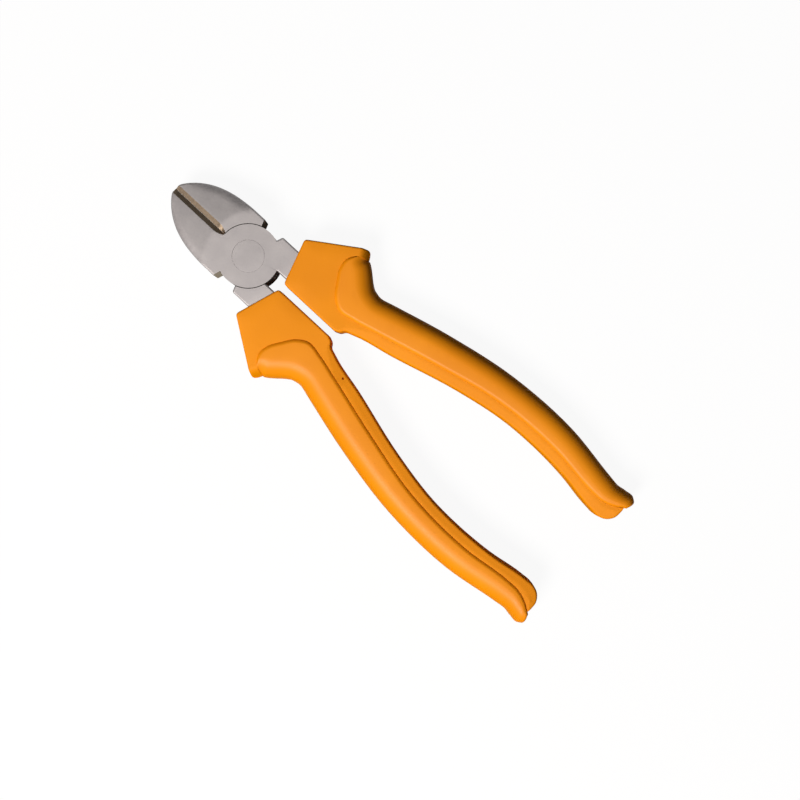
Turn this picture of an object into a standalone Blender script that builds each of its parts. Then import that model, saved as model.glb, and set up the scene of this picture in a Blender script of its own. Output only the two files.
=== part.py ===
"""Diagonal cutter with a lap joint.

Two forged steel halves turn on a flush rivet. Each handle has a two-part moulded grip: a core with a collar
and an inner strip, moulded round the tang, and a thicker pad moulded round the outside of the core.

Metres, +Z up. The tool lies on its back with its jaws closed. +X runs from the rivet to the handle ends, +Y
to the handle of the front half. The origin is on the rivet's axis, in the rear face of the joint.
"""

import math

import bmesh
import bpy
import numpy as np
from mathutils import Matrix

# Joint
JOINT_THICKNESS = 0.0104
DISC_RADIUS = 0.0103
DISC_CLEARANCE = 0.0003
LAP_GAP = 0.0003
RIVET_SHANK_RADIUS = 0.0040
RIVET_HEAD_RADIUS = 0.0053
RIVET_HEAD_DEPTH = 0.0018
RIVET_CLEARANCE = 0.00015

# Jaws, from the rivet's axis to the tip
JAW_LENGTH = 0.0330
JAW_HALF_WIDTH = 0.0124
JAW_WIDEST = 0.0080
TIP_HALF_WIDTH = 0.0018
TIP_PULL = (0.0042, 0.0062)
CHEEK_PULL = 0.0140
HEEL_ANGLE = math.radians(71.0)
TIP_THICKNESS = 0.0056
SLOPE_START = 0.0139
CROWN_RADIUS = 0.140

# Cutting edges
EDGE_GAP = 0.0002
EDGE_ROOT = 0.0138
FRONT_BEVEL_WIDTH = 0.0017
FRONT_BEVEL_DEPTH = 0.0011
REAR_BEVEL_WIDTH = 0.0005
ROOT_SLOT_WIDTH = 0.0009

# Tangs
SHOULDER_ANGLE = math.radians(71.5)
NECK_INNER = 0.0028
NECK_OUTER = 0.01215
NECK_LENGTH = 0.0165
TANG_THICKNESS = 0.0058
TANG_CORNER = 0.0006

# Grips
COLLAR_WALL = 0.0011
COLLAR_INNER = 0.0012
COLLAR_EDGE_RADIUS = 0.0006
STRIP_EDGE_RADIUS = 0.0021
PAD_PROUD = 0.0009
PAD_EDGE_RADIUS = 0.0008
PAD_NOSE = 0.0052
CORE_WALL = 0.0014
MOULD_GAP = 0.0003
SEAT_GAP = 0.0003

MID = JOINT_THICKNESS / 2
COLLAR_HALF = MID + COLLAR_WALL
PAD_HALF = COLLAR_HALF + PAD_PROUD
PAST = 0.002
DISC_STEPS = 64
CROWN_STEPS = 360
JAW_STEPS = 16
SPAN_STEPS = 3
ROUND_STEPS = 2
NOSE_STEPS = 6
SHARP_ANGLE = math.radians(30.0)

# Handle: its length from the rivet's axis, the waist behind the collar, and the points that shape it. Points
# up to the waist are lengths from the rivet, points along the body are shares of the way from the waist to
# the end, and points at the end are lengths from the end
HANDLE_LENGTH = 0.1476
WAIST = 0.0465

# Tang: x and y on its inner edge, then on its outer edge
TANG_FRONT = [
    (0.0250, 0.0038, 0.0245, 0.0123),
    (0.0340, 0.0050, 0.0330, 0.0127),
    (0.0430, 0.0069, 0.0420, 0.0140),
]
TANG_BODY = [
    (0.152, 0.0118, 0.137, 0.0180),
    (0.348, 0.0170, 0.334, 0.0226),
    (0.525, 0.0199, 0.518, 0.0251),
    (0.643, 0.0203, 0.641, 0.0251),
]

# Pad: x and y where it meets the collar and strip, then on its outer edge, and its share of the full height
PAD_FRONT = [
    (0.0293, 0.0254, 0.0300, 0.0258, 0.55),
    (0.0276, 0.0249, 0.0310, 0.0252, 0.75),
    (0.0256, 0.0234, 0.0322, 0.0243, 0.89),
    (0.0242, 0.0208, 0.0335, 0.0232, 0.97),
    (0.0246, 0.0174, 0.03495, 0.02195, 1.0),
    (0.0270, 0.0132, 0.0363, 0.0209, 1.0),
    (0.0300, 0.0092, 0.0377, 0.0201, 1.0),
    (0.0334, 0.00715, 0.0393, 0.0197, 1.0),
    (0.0395, 0.0078, 0.0413, 0.0196, 1.0),
    (0.0465, 0.00955, 0.0452, 0.02065, 1.0),
]
PAD_BODY = [
    (0.216, 0.0153, 0.193, 0.0260, 1.0),
    (0.451, 0.02055, 0.437, 0.03035, 1.0),
    (0.687, 0.0216, 0.694, 0.0309, 1.0),
]
PAD_END = [
    (-0.0129, 0.0197, -0.0110, 0.0280, 1.0),
    (-0.0096, 0.01975, -0.0076, 0.0276, 1.0),
    (-0.0064, 0.0206, -0.0044, 0.02805, 1.0),
    (-0.0040, 0.0218, -0.0012, 0.0280, 0.98),
    (-0.0028, 0.0226, 0.0, 0.0262, 0.92),
    (-0.0022, 0.02295, -0.0008, 0.0240, 0.84),
]

# Inner edge of the strip, from the end of the collar to the lobe at the handle's end
STRIP_FRONT = [(0.0393, 0.0021), (0.0403, 0.0034), (0.0425, 0.0044)]
STRIP_BODY = [(0.098, 0.0080), (0.334, 0.0144), (0.525, 0.0177), (0.643, 0.0181), (0.770, 0.0174)]
STRIP_END = [(-0.0101, 0.0155), (-0.0064, 0.0154), (-0.0036, 0.0166), (-0.0020, 0.0189), (-0.0018, 0.0216)]

# Collar
COLLAR_INNER_END = 0.0375
COLLAR_FRONT_INNER = 0.01475
COLLAR_FRONT_OUTER = (0.0098, 0.0165)
LIP_EDGE = [(0.0256, 0.0273), (0.0279, 0.0281), (0.0285, 0.0275), (0.0291, 0.0265), (0.0295, 0.0257)]


def clear_scene():
    for obj in list(bpy.data.objects):
        bpy.data.objects.remove(obj, do_unlink=True)


def new_collection(name):
    collection = bpy.data.collections.new(name)
    bpy.context.scene.collection.children.link(collection)
    return collection


def new_material(name, colour, roughness, metallic):
    material = bpy.data.materials.new(name)
    material.use_nodes = True
    shader = material.node_tree.nodes["Principled BSDF"]
    shader.inputs["Base Color"].default_value = (*colour, 1.0)
    shader.inputs["Roughness"].default_value = roughness
    shader.inputs["Metallic"].default_value = metallic
    return material


def new_object(name, mesh, collection):
    obj = bpy.data.objects.new(name, mesh)
    collection.objects.link(obj)
    if collection is cutters:
        obj.hide_render = True
        obj.display_type = "WIRE"
    return obj


def object_from_bmesh(name, bm, collection):
    bmesh.ops.recalc_face_normals(bm, faces=bm.faces)
    mesh = bpy.data.meshes.new(name)
    bm.to_mesh(mesh)
    bm.free()
    return new_object(name, mesh, collection)


def evaluated_mesh(obj):
    depsgraph = bpy.context.evaluated_depsgraph_get()
    return bpy.data.meshes.new_from_object(obj.evaluated_get(depsgraph))


def boolean(target, tool, operation):
    modifier = target.modifiers.new(f"{operation.lower()} {tool.name}", "BOOLEAN")
    modifier.object = tool
    modifier.operation = operation
    modifier.solver = "EXACT"


def smooth_rows(rows, steps):
    """Rows along a smooth curve through the given rows, with the given number of steps in each span."""
    rows = np.array(rows, dtype=float)
    spans = np.linalg.norm(np.diff(rows[:, :2], axis=0), axis=1)
    slopes = np.diff(rows, axis=0) / spans[:, None]
    tangents = np.empty_like(rows)
    tangents[0] = slopes[0]
    tangents[-1] = slopes[-1]
    before = spans[:-1, None]
    after = spans[1:, None]
    tangents[1:-1] = (slopes[:-1] * after + slopes[1:] * before) / (before + after)
    out = []
    for i, span in enumerate(spans):
        for t in np.arange(steps) / steps:
            start = (1 + 2 * t) * (1 - t) ** 2 * rows[i] + t * (1 - t) ** 2 * span * tangents[i]
            end = t * t * (3 - 2 * t) * rows[i + 1] + t * t * (t - 1) * span * tangents[i + 1]
            out.append(start + end)
    out.append(rows[-1])
    return np.array(out)


def bezier(points, steps):
    p = np.array(points, dtype=float)
    t = np.linspace(0, 1, steps + 1)[:, None]
    return (1 - t) ** 3 * p[0] + 3 * t * (1 - t) ** 2 * p[1] + 3 * t * t * (1 - t) * p[2] + t**3 * p[3]


def offset_path(path, distance):
    """The path moved sideways, to its left for a positive distance."""
    along = np.gradient(path, axis=0)
    along /= np.linalg.norm(along, axis=1)[:, None]
    return path + distance * np.column_stack([-along[:, 1], along[:, 0]])


def plate(name, outline, bottom, top, collection, edge_rounds=None):
    """A flat outline in X and Y, drawn up from bottom to top, with a share of the round along each edge."""
    bm = bmesh.new()
    lower = [bm.verts.new((x, y, bottom)) for x, y in outline]
    grown = bmesh.ops.extrude_face_region(bm, geom=[bm.faces.new(lower)])["geom"]
    raised = [g for g in grown if isinstance(g, bmesh.types.BMVert)]
    bmesh.ops.translate(bm, verts=raised, vec=(0, 0, top - bottom))
    if edge_rounds:
        weight = bm.edges.layers.float.new("bevel_weight_edge")
        above = set(raised)
        upper = [next(v for e in low.link_edges if (v := e.other_vert(low)) in above) for low in lower]
        for rim in (lower, upper):
            for i, share in enumerate(edge_rounds):
                bm.edges.get((rim[i], rim[(i + 1) % len(rim)]))[weight] = share
    return object_from_bmesh(name, bm, collection)


def cylinder(name, radius, bottom, top, collection):
    bm = bmesh.new()
    bmesh.ops.create_cone(
        bm, cap_ends=True, segments=DISC_STEPS, radius1=radius, radius2=radius, depth=top - bottom
    )
    bmesh.ops.translate(bm, verts=bm.verts, vec=(0, 0, (bottom + top) / 2))
    return object_from_bmesh(name, bm, collection)


def turned(name, profile, steps, collection):
    """A profile of radius and height, from the top of the axis to its bottom, turned about Z."""
    mesh = bpy.data.meshes.new(name)
    edges = [(i, i + 1) for i in range(len(profile) - 1)]
    mesh.from_pydata([(r, 0, z) for r, z in profile], edges, [])
    obj = new_object(name, mesh, collection)
    screw = obj.modifiers.new("turn", "SCREW")
    screw.steps = steps
    screw.render_steps = steps
    screw.use_merge_vertices = True
    screw.merge_threshold = 0.00001
    return obj


def loft(name, sections, collection):
    """A closed solid through rings that all have as many points."""
    bm = bmesh.new()
    rings = [[bm.verts.new(point) for point in section] for section in sections]
    count = len(rings[0])
    for ring, following in zip(rings, rings[1:]):
        for i in range(count):
            j = (i + 1) % count
            bm.faces.new((ring[i], ring[j], following[j], following[i]))
    bm.faces.new(rings[0])
    bm.faces.new(rings[-1])
    return object_from_bmesh(name, bm, collection)


def ring_across(inner, outer, profile):
    """A ring of points, from a profile of distances towards the outer edge and heights over the middle."""
    inner = np.array(inner)
    across = np.array(outer) - inner
    across /= np.linalg.norm(across)
    return [(*(inner + across * a), MID + z) for a, z in profile]


def turned_over(obj, name, collection):
    """A copy turned half a turn about the X direction through the middle of the joint."""
    mesh = evaluated_mesh(obj)
    mesh.transform(Matrix.Translation((0, 0, -MID)))
    mesh.transform(Matrix.Rotation(math.pi, 4, "X"))
    mesh.transform(Matrix.Translation((0, 0, MID)))
    return new_object(name, mesh, collection)


def jaw_outline():
    """The lower jaw, from the tip along its outer edge to the heel, then in under the disc."""
    tip = np.array((-JAW_LENGTH, -TIP_HALF_WIDTH))
    widest = np.array((-JAW_WIDEST, -JAW_HALF_WIDTH))
    after_tip = tip + (TIP_PULL[0], -TIP_PULL[1])
    before_widest = widest - (CHEEK_PULL, 0)
    outer = bezier([tip, after_tip, before_widest, widest], JAW_STEPS)
    heel = np.array((-1 / math.tan(HEEL_ANGLE), -1.0))
    inside = heel / np.linalg.norm(heel) * (DISC_RADIUS - PAST)
    return [*outer, heel * JAW_HALF_WIDTH, inside, (-DISC_RADIUS + PAST, 0), (-JAW_LENGTH, 0)]


def jaw_slope():
    """How fast each face of a jaw falls, from where its slope starts to the tip."""
    return (JOINT_THICKNESS - TIP_THICKNESS) / 2 / (JAW_LENGTH - SLOPE_START)


def crown_cutter(name, flip):
    """A turned cone, whose side is the slack crown that both faces of the jaws are ground to."""
    tip = JAW_LENGTH + PAST
    root = -DISC_RADIUS
    profile = [
        (0, tip),
        (CROWN_RADIUS - jaw_slope() * (tip - SLOPE_START), tip),
        (CROWN_RADIUS - jaw_slope() * (root - SLOPE_START), root),
        (0, root),
    ]
    drum = turned(name, profile, CROWN_STEPS, cutters)
    solid = new_object(name, evaluated_mesh(drum), cutters)
    bpy.data.objects.remove(drum)
    solid.name = name
    axis_height = CROWN_RADIUS if flip else JOINT_THICKNESS - CROWN_RADIUS
    solid.data.transform(Matrix.Translation((0, 0, axis_height)) @ Matrix.Rotation(-math.pi / 2, 4, "Y"))
    return solid


def handle_points(front, body, end, x_places):
    """The points of an edge or of a pair of edges, all as lengths from the rivet's axis."""
    points = [np.array(point) for point in (*front, *body, *end)]
    for point in points[len(front) : len(front) + len(body)]:
        point[x_places] = WAIST + point[x_places] * (HANDLE_LENGTH - WAIST)
    for point in points[len(front) + len(body) :]:
        point[x_places] += HANDLE_LENGTH
    return points


def pad_rows():
    return smooth_rows(handle_points(PAD_FRONT, PAD_BODY, PAD_END, [0, 2]), SPAN_STEPS)


def neck_rows():
    """Edges and half thickness of the tang's neck, straight and as thick as the joint."""
    ray = 1 / math.tan(SHOULDER_ANGLE)
    start = (NECK_INNER * ray, NECK_INNER, NECK_OUTER * ray, NECK_OUTER, MID)
    end = (NECK_LENGTH, NECK_INNER, NECK_LENGTH, NECK_OUTER, MID)
    return [np.array(start), np.array(end)]


def bar_rows():
    """Edges and half thickness of the tang's bar, which the grip hides."""
    edges = handle_points(TANG_FRONT, TANG_BODY, [], [0, 2])
    return list(smooth_rows([(*row, TANG_THICKNESS / 2) for row in edges], SPAN_STEPS))


def tang(name, rows, allowance, collection):
    """The tang along the given rows, grown all round by an allowance."""
    rows = np.array(rows)
    rows[-1, [0, 2]] += allowance
    sections = []
    for row in rows:
        inner, outer, half = row[:2], row[2:4], row[4] + allowance
        width = np.linalg.norm(outer - inner) + allowance
        c = TANG_CORNER
        near, far = -allowance, width
        profile = [
            (near, c - half),
            (near, half - c),
            (near + c, half),
            (far - c, half),
            (far, half - c),
            (far, c - half),
            (far - c, -half),
            (near + c, -half),
        ]
        sections.append(ring_across(inner, outer, profile))
    return loft(name, sections, collection)


def edge_cutter():
    """The space between the cutting edges: a wide bevel in front, a relief behind, and a slot at the root."""
    tip = -JAW_LENGTH - PAST
    sections = []
    for x, front_width, rear_width in (
        (tip, FRONT_BEVEL_WIDTH, REAR_BEVEL_WIDTH),
        (-EDGE_ROOT, FRONT_BEVEL_WIDTH, REAR_BEVEL_WIDTH),
        (-DISC_RADIUS - DISC_CLEARANCE, ROOT_SLOT_WIDTH / 2, ROOT_SLOT_WIDTH / 2),
    ):
        half = MID - jaw_slope() * max(-x - SLOPE_START, 0)
        waist = EDGE_GAP / 2 if x < -DISC_RADIUS - PAST else ROOT_SLOT_WIDTH / 2
        edge = MID + half - FRONT_BEVEL_DEPTH
        top = JOINT_THICKNESS + PAST
        bottom = -PAST
        front = waist + (front_width - waist) * (top - edge) / FRONT_BEVEL_DEPTH
        rear = waist + (rear_width - waist) * (edge - bottom) / (2 * half - FRONT_BEVEL_DEPTH)
        right = [(x, rear, bottom), (x, waist, edge), (x, front, top)]
        left = [(x, -front, top), (x, -waist, edge), (x, -rear, bottom)]
        sections.append(left + right)
    return loft("edge_space", sections, cutters)


def rivet_profile(clearance, overrun):
    """Shank between two countersunk heads that end flush with the joint's faces."""
    head = RIVET_HEAD_RADIUS + clearance
    shank = RIVET_SHANK_RADIUS + clearance
    shoulder = JOINT_THICKNESS - RIVET_HEAD_DEPTH
    side = [(head, JOINT_THICKNESS), (shank, shoulder), (shank, RIVET_HEAD_DEPTH), (head, 0)]
    if overrun:
        side = [(head, JOINT_THICKNESS + overrun), *side, (head, -overrun)]
    return [(0, side[0][1]), *side, (0, side[-1][1])]


def half_blank():
    """The front half before its cutting edge is ground."""
    lap = MID + LAP_GAP / 2
    blank = plate("jaw_blank", jaw_outline(), 0, JOINT_THICKNESS, cutters)
    boolean(blank, crown_cutter("front_crown", False), "INTERSECT")
    boolean(blank, crown_cutter("rear_crown", True), "INTERSECT")
    boolean(blank, cylinder("disc_blank", DISC_RADIUS, lap, JOINT_THICKNESS, cutters), "UNION")
    boolean(blank, tang("tang_blank", neck_rows() + bar_rows(), 0, cutters), "UNION")
    pocket = cylinder("disc_pocket", DISC_RADIUS + DISC_CLEARANCE, -PAST, lap, cutters)
    boolean(blank, pocket, "DIFFERENCE")
    bore = turned("rivet_bore", rivet_profile(RIVET_CLEARANCE, PAST), DISC_STEPS, cutters)
    boolean(blank, bore, "DIFFERENCE")
    return blank


def pad_profile(width, half):
    """A D: a step with a small round at the strip, flat faces, and an elliptical nose outside."""
    round_edge = min(PAD_EDGE_RADIUS, width / 4)
    nose = min(PAD_NOSE, width / 2)
    upper = []
    for i in range(ROUND_STEPS + 1):
        angle = math.pi / 2 * i / ROUND_STEPS
        upper.append((round_edge * (1 - math.cos(angle)), half - round_edge * (1 - math.sin(angle))))
    for i in range(NOSE_STEPS):
        angle = math.pi / 2 * i / NOSE_STEPS
        upper.append((width - nose * (1 - math.sin(angle)), half * math.cos(angle)))
    return [*upper, (width, 0), *[(a, -z) for a, z in reversed(upper)]]


def grip_pad(name, collection):
    sections = []
    for row in pad_rows():
        width = np.linalg.norm(row[2:4] - row[:2])
        sections.append(ring_across(row[:2], row[2:4], pad_profile(width, PAD_HALF * min(row[4], 1))))
    pad = loft(name, sections, collection)
    space = tang("core_space", bar_rows(), MOULD_GAP + CORE_WALL + SEAT_GAP, cutters)
    boolean(pad, space, "DIFFERENCE")
    return pad


def core_outline():
    """The collar and strip seen from the front, and the round along each edge as a share of the strip's."""
    collar_share = COLLAR_EDGE_RADIUS / STRIP_EDGE_RADIUS
    seat_share = SEAT_GAP / STRIP_EDGE_RADIUS
    strip_front = [(COLLAR_INNER_END, COLLAR_INNER), *STRIP_FRONT]
    strip = smooth_rows(handle_points(strip_front, STRIP_BODY, STRIP_END, [0]), SPAN_STEPS)
    groove = offset_path(pad_rows()[:, :2], -SEAT_GAP)[::-1]
    lip = smooth_rows([COLLAR_FRONT_OUTER, *LIP_EDGE], SPAN_STEPS)[::-1]
    outline = [(COLLAR_FRONT_INNER, COLLAR_INNER), *strip, *groove, *lip]
    grown = np.clip((strip[:, 0] - COLLAR_INNER_END) / (WAIST - COLLAR_INNER_END), 0, 1)
    rounds = [collar_share, *(collar_share + (1 - collar_share) * grown)]
    rounds += [seat_share] * len(groove) + [collar_share] * len(lip)
    return outline, rounds


def grip_core(name, collection):
    outline, rounds = core_outline()
    core = plate(name, outline, MID - COLLAR_HALF, MID + COLLAR_HALF, collection, rounds)
    bevel = core.modifiers.new("rounded edges", "BEVEL")
    bevel.limit_method = "WEIGHT"
    bevel.width = STRIP_EDGE_RADIUS
    bevel.segments = 3
    bevel.use_clamp_overlap = False
    boolean(core, tang("core_sleeve", bar_rows(), MOULD_GAP + CORE_WALL, cutters), "UNION")
    boolean(core, tang("tang_socket", neck_rows() + bar_rows(), MOULD_GAP, cutters), "DIFFERENCE")
    return core


def finished(obj, name, material):
    """The piece as its modifiers leave it, shaded smooth apart from its sharp edges."""
    mesh = evaluated_mesh(obj)
    mesh.materials.clear()
    mesh.materials.append(material)
    mesh.shade_smooth()
    mesh.set_sharp_from_angle(angle=SHARP_ANGLE)
    return new_object(name, mesh, parts)


clear_scene()
parts = new_collection("diagonal_cutter")
cutters = new_collection("cutters")
steel = new_material("forged_steel", (0.445, 0.410, 0.395), 0.38, 1.0)
rivet_steel = new_material("rivet_steel", (0.462, 0.420, 0.400), 0.32, 1.0)
core_orange = new_material("core_orange", (0.879, 0.270, 0.004), 0.42, 0.0)
pad_orange = new_material("pad_orange", (0.888, 0.275, 0.010), 0.5, 0.0)

# Steel halves: one forging, and the same forging turned over, each ground along its cutting edge
edge_space = edge_cutter()
front_blank = half_blank()
rear_blank = turned_over(front_blank, "rear_blank", cutters)
front_ground = new_object("front_ground", evaluated_mesh(front_blank), cutters)
boolean(front_ground, edge_space, "DIFFERENCE")
boolean(rear_blank, edge_space, "DIFFERENCE")
finished(front_ground, "front_half", steel)
rear_half = finished(rear_blank, "rear_half", steel)

# Rivet
finished(turned("rivet_blank", rivet_profile(0, 0), DISC_STEPS, cutters), "rivet", rivet_steel)

# Grips: the right one sits on the front half, the left one is the same moulding turned over
core = grip_core("core_moulding", cutters)
pad = grip_pad("pad_moulding", cutters)
finished(core, "right_grip_core", core_orange)
finished(pad, "right_grip_pad", pad_orange)
left_core = finished(turned_over(core, "left_core", cutters), "left_grip_core", core_orange)
left_pad = finished(turned_over(pad, "left_pad", cutters), "left_grip_pad", pad_orange)

# The rear half and the left grip open about the rivet's axis
rivet_axis = new_object("rivet_axis", None, parts)
for piece in (rear_half, left_core, left_pad):
    piece.parent = rivet_axis
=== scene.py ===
# %% [markdown]
# # Diagonal cutter
# A diagonal cutter is two forged halves that lap over each other and turn on one flush rivet, with a
# moulded grip on each handle. A measured model of it is loaded first, and each of its solids is then
# replaced by a finer piece with rounded edges and a real finish. The measured model stays where it is, so
# the finer pieces need no fitting and move with the joint.

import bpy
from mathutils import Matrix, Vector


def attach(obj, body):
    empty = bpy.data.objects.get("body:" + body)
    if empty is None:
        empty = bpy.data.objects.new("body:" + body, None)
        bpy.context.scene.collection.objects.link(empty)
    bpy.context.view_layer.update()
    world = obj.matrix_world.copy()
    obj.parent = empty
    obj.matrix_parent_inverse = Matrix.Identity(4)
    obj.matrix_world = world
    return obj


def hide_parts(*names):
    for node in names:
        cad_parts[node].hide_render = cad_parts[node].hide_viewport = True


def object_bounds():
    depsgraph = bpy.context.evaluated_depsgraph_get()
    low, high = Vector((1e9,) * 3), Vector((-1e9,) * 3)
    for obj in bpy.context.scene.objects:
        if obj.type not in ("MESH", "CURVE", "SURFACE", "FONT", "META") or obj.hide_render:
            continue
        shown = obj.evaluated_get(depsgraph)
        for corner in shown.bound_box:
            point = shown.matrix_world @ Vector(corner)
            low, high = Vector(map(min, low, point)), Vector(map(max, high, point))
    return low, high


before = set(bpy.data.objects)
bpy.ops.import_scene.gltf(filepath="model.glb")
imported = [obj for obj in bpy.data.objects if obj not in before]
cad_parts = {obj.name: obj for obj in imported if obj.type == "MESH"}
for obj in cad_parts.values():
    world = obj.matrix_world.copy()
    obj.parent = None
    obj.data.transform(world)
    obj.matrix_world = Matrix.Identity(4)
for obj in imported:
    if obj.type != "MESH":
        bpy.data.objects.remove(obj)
cad_low, cad_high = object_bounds()
print("box of the solids:", tuple(cad_low), tuple(cad_high))

# %% [markdown]
# ## Camera
# The photograph looks straight down on the tool, with the handles running to the lower right. A camera that
# is not turned looks down -Z with +X to the right, so one turn about Z gives the view. The camera is 36 cm
# over the tool, so the back is drawn a little smaller than the front, and the lens sets how wide the
# picture is.

# %% Camera over the tool
import math

import bmesh
import bpy
import numpy as np
from mathutils import Matrix, Vector

MM = 0.001
FRONT_FACE = 10.4  # mm from the rear face of the joint to its front face
CAMERA_PLACE = (68.16, -0.74, 370.4)
CAMERA_TURN = 42.89  # degrees
PICTURE_WIDTH = 260.6  # mm, at the front face
SENSOR = 36

camera_data = bpy.data.cameras.new("photo_camera")
camera_data.sensor_width = SENSOR
camera_data.lens = SENSOR * (CAMERA_PLACE[2] - FRONT_FACE) / PICTURE_WIDTH
camera_data.clip_start = 0.01
camera = bpy.data.objects.new("photo_camera", camera_data)
camera.location = [length * MM for length in CAMERA_PLACE]
camera.rotation_euler = (0, 0, math.radians(CAMERA_TURN))
scene = bpy.context.scene
scene.collection.objects.link(camera)
bpy.context.scene.camera = camera
print("lens:", round(camera_data.lens, 2), "mm")

# %% [markdown]
# ## A few helpers
# Shapes here are drawn in millimetres and made metres at the end, because 10.4 is easier to read than
# 0.0104. Long edges were measured at a few points only, so a smooth curve is led through them. The grips
# are then swept: a chain of edges is extruded again and again, and each new chain is moved on to its
# measured line. A Curve object with a bevel could sweep too, but it keeps one shape of section, and that of
# a grip changes all the way.

# %% Smooth curves through measured rows
def through(rows, steps):
    """Rows on a smooth curve through the measured rows, with the given number of steps in each span."""
    rows = np.array(rows, dtype=float)
    spans = np.linalg.norm(np.diff(rows[:, :2], axis=0), axis=1)
    slopes = np.diff(rows, axis=0) / spans[:, None]
    tangents = np.vstack([slopes[:1], slopes])
    before = spans[:-1, None]
    after = spans[1:, None]
    tangents[1:-1] = (slopes[:-1] * after + slopes[1:] * before) / (before + after)
    out = []
    for i, span in enumerate(spans):
        for t in np.arange(steps) / steps:
            start = (1 + 2 * t) * (1 - t) ** 2 * rows[i] + t * (1 - t) ** 2 * span * tangents[i]
            end = t * t * (3 - 2 * t) * rows[i + 1] + t * t * (t - 1) * span * tangents[i + 1]
            out.append(start + end)
    return np.array([*out, rows[-1]])


def ramp(value, start, length):
    """Grows from 0 at the start to 1 after the given length, and stays there."""
    return np.clip((value - start) / length, 0, 1)


print("half way along a ramp:", ramp(5.0, 0, 10))

# %% Sweeping a chain of edges
def chain_edges(bm, chain, closed):
    """The edges that join the points of a chain, made where they are missing."""
    ends = zip(chain, chain[1:] + chain[:1]) if closed else zip(chain, chain[1:])
    return [bm.edges.get(pair) or bm.edges.new(pair) for pair in ends]


def sweep(bm, chain, closed, places):
    """Extrudes a chain of edges, and moves each new point to its place on the next line."""
    grown = bmesh.ops.extrude_edge_only(bm, edges=chain_edges(bm, chain, closed))["geom"]
    fresh = {item for item in grown if isinstance(item, bmesh.types.BMVert)}
    following = []
    for vert, place in zip(chain, places):
        ends = [edge.other_vert(vert) for edge in vert.link_edges]
        following.append(next(end for end in ends if end in fresh))
        following[-1].co = place
    return following


trial = bmesh.new()
trial_chain = [trial.verts.new((x, 0, 0)) for x in (0, 1, 2)]
sweep(trial, trial_chain, False, [(x, 1, 0) for x in (0, 1, 2)])
print("faces from two edges, swept once:", len(trial.faces))
trial.free()

# %% Finished pieces and their mirrored and turned halves
MID = FRONT_FACE / 2
MERGE_DISTANCE = 0.002
SHARP_ANGLE = math.radians(30)


def finished(name, bm, body, node):
    """Makes the mesh an object in metres that stands for a solid and moves with its body."""
    bmesh.ops.remove_doubles(bm, verts=bm.verts, dist=MERGE_DISTANCE)
    bmesh.ops.recalc_face_normals(bm, faces=bm.faces)
    bmesh.ops.scale(bm, verts=bm.verts, vec=(MM, MM, MM))
    mesh = bpy.data.meshes.new(name)
    bm.to_mesh(mesh)
    open_edges = sum(len(edge.link_faces) != 2 for edge in bm.edges)
    bm.free()
    mesh.shade_smooth()
    mesh.set_sharp_from_angle(angle=SHARP_ANGLE)
    piece = bpy.data.objects.new(name, mesh)
    scene.collection.objects.link(piece)
    weighted = piece.modifiers.new("flat faces stay flat", "WEIGHTED_NORMAL")
    weighted.keep_sharp = True
    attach(piece, body)
    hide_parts(node)
    size = [round(length / MM, 2) for length in piece.dimensions]
    print(f"{name}: {len(mesh.polygons)} faces, {size} mm, {open_edges} open edges")
    return piece


def mirror_back(bm):
    """Adds the back of a moulding, which is its front mirrored in the parting plane."""
    everything = bm.verts[:] + bm.edges[:] + bm.faces[:]
    plane = Matrix.Translation((0, 0, -MID))
    bmesh.ops.mirror(bm, geom=everything, matrix=plane, merge_dist=0.001, axis="Z")


def turn_over(bm):
    """Half a turn about the tool's long direction, which makes a right-hand piece a left-hand one."""
    bmesh.ops.rotate(bm, verts=bm.verts, cent=(0, 0, MID), matrix=Matrix.Rotation(math.pi, 3, "X"))


print("the halves and grips are turned over about z =", MID, "mm")

# %% [markdown]
# ## Grip pads
# The pad is the thick outer part of the grip, moulded over the core in a second shot. Across the handle it
# is a D: a small step up from the strip, a nearly flat face, and a round nose that fills the palm. It could
# be a subdivided cage, but the step has to stay crisp over its whole length, so the D is drawn once for
# each measured row and swept along the handle. Only the front half is swept. A mirror makes the back, as in
# a two-part mould.

# %% Measured rows of the pad
# x and y at the step, x and y on the outer edge, and the share of the full height
PAD_ROWS = [
    (29.3, 25.4, 30.0, 25.8, 1.0),
    (27.6, 24.9, 31.0, 25.2, 1.0),
    (25.6, 23.4, 32.2, 24.3, 1.0),
    (24.2, 20.8, 33.5, 23.2, 1.0),
    (24.6, 17.4, 34.95, 21.95, 1.0),
    (27.0, 13.2, 36.3, 20.9, 1.0),
    (30.0, 9.2, 37.7, 20.1, 1.0),
    (33.4, 7.15, 39.3, 19.7, 1.0),
    (39.5, 7.8, 41.3, 19.6, 1.0),
    (46.5, 9.55, 45.2, 20.65, 1.0),
    (68.3, 15.3, 66.0, 26.0, 1.0),
    (92.1, 20.55, 90.7, 30.35, 1.0),
    (116.0, 21.6, 116.6, 30.9, 1.0),
    (134.7, 19.7, 136.6, 28.0, 1.0),
    (138.0, 19.75, 140.0, 27.6, 1.0),
    (141.2, 20.6, 143.2, 28.05, 1.0),
    (143.6, 21.8, 146.4, 28.0, 0.98),
    (144.8, 22.6, 147.6, 26.2, 0.92),
    (145.4, 22.95, 146.8, 24.0, 0.84),
]
SPAN_STEPS = 6
pad_rows = through(PAD_ROWS, SPAN_STEPS)
print("rows of the pad:", len(pad_rows))

# %% [markdown]
# At the front the pad turns the corner under the collar's lip, and its rows fan out there. A nose that was
# measured along each row would wrinkle, so in front the nose follows the distance from the outer edge
# instead, as a round cutter that runs along that edge would leave it.

# %% Outer edge of the grip, from the lip to the far end
LIP_END_LINE = [(27.9, 28.1), (29.5, 25.7)]
outer_line = np.vstack([LIP_END_LINE, pad_rows[:, 2:4]])


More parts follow.
